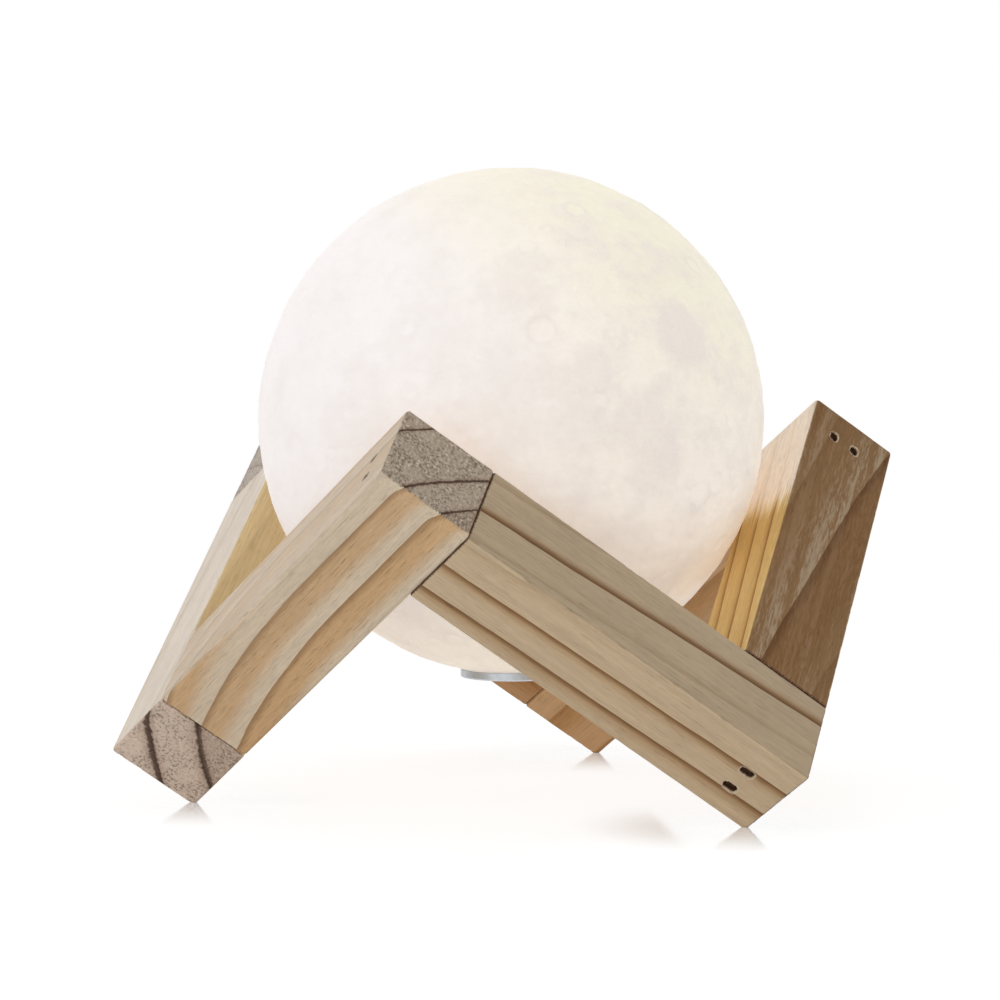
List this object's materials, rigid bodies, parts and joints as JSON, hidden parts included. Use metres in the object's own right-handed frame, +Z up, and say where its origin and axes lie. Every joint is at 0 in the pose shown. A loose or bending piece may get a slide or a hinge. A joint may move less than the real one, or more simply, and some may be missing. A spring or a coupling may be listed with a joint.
{
  "type": "moon lamp",
  "caption": "Printed moon globe lamp resting in a crown of six square wooden sticks butt-jointed in a zig-zag ring, with a battery light module inside.",
  "frame": {"origin": "on the stand's axis at floor level, where its three feet rest", "axes": "+Z up, -Y towards the front peak of the stand, +X to the right seen from the front"},
  "size_m": [0.2058, 0.2363, 0.1856],
  "materials": {
    "pine": "planed, unvarnished",
    "brad_steel": "dull",
    "moon_print": "printed, finely layered",
    "ring_steel": "satin",
    "barrel_plastic": "satin",
    "cap_plastic": "satin",
    "button_plastic": "satin",
    "screw_steel": "bright",
    "socket_steel": "bright",
    "switch_plastic": "matte",
    "board_green": "satin",
    "led_yellow": "gloss",
    "lens_clear": "polished",
    "cell_wrap": "plastic wrapped",
    "lead_rubber": "satin",
    "pad_foam": "foam",
    "led_board_white": "satin",
    "dome_frosted": "frosted"
  },
  "bodies": {
    "stand": {"stick_front_left": "pine", "stick_front_right": "pine", "stick_right": "pine", "stick_rear_right": "pine", "stick_rear_left": "pine", "stick_left": "pine", "brads": "brad_steel"},
    "globe": {"moon_shell": "moon_print", "base_ring": "ring_steel", "base_barrel": "barrel_plastic", "battery_cradle": "barrel_plastic", "led_carrier": "barrel_plastic", "base_cap": "cap_plastic", "cap_screws": "screw_steel", "carrier_screws": "screw_steel", "charge_socket": "socket_steel", "cell_tabs": "socket_steel", "switch_body": "switch_plastic", "control_chips": "switch_plastic", "control_board": "board_green", "led_chips": "led_yellow", "charge_led": "led_yellow", "indicator_lens": "lens_clear", "battery_cell": "cell_wrap", "battery_leads": "lead_rubber", "lamp_leads": "lead_rubber", "cell_pad": "pad_foam", "led_board": "led_board_white", "diffuser_dome": "dome_frosted"},
    "button": {"mode_button": "button_plastic", "switch_plunger": "button_plastic"}
  },
  "joints": [
    {"name": "globe_lift", "type": "slide", "parent": "stand", "child": "globe", "axis": [0, 0, 1], "range_m": [0, 0.12]},
    {"name": "button_press", "type": "slide", "parent": "globe", "child": "button", "axis": [0, 0, 1], "range_m": [0, 0.0005], "stiffness_N_per_m": 1500, "springref_m": -0.0006}
  ]
}
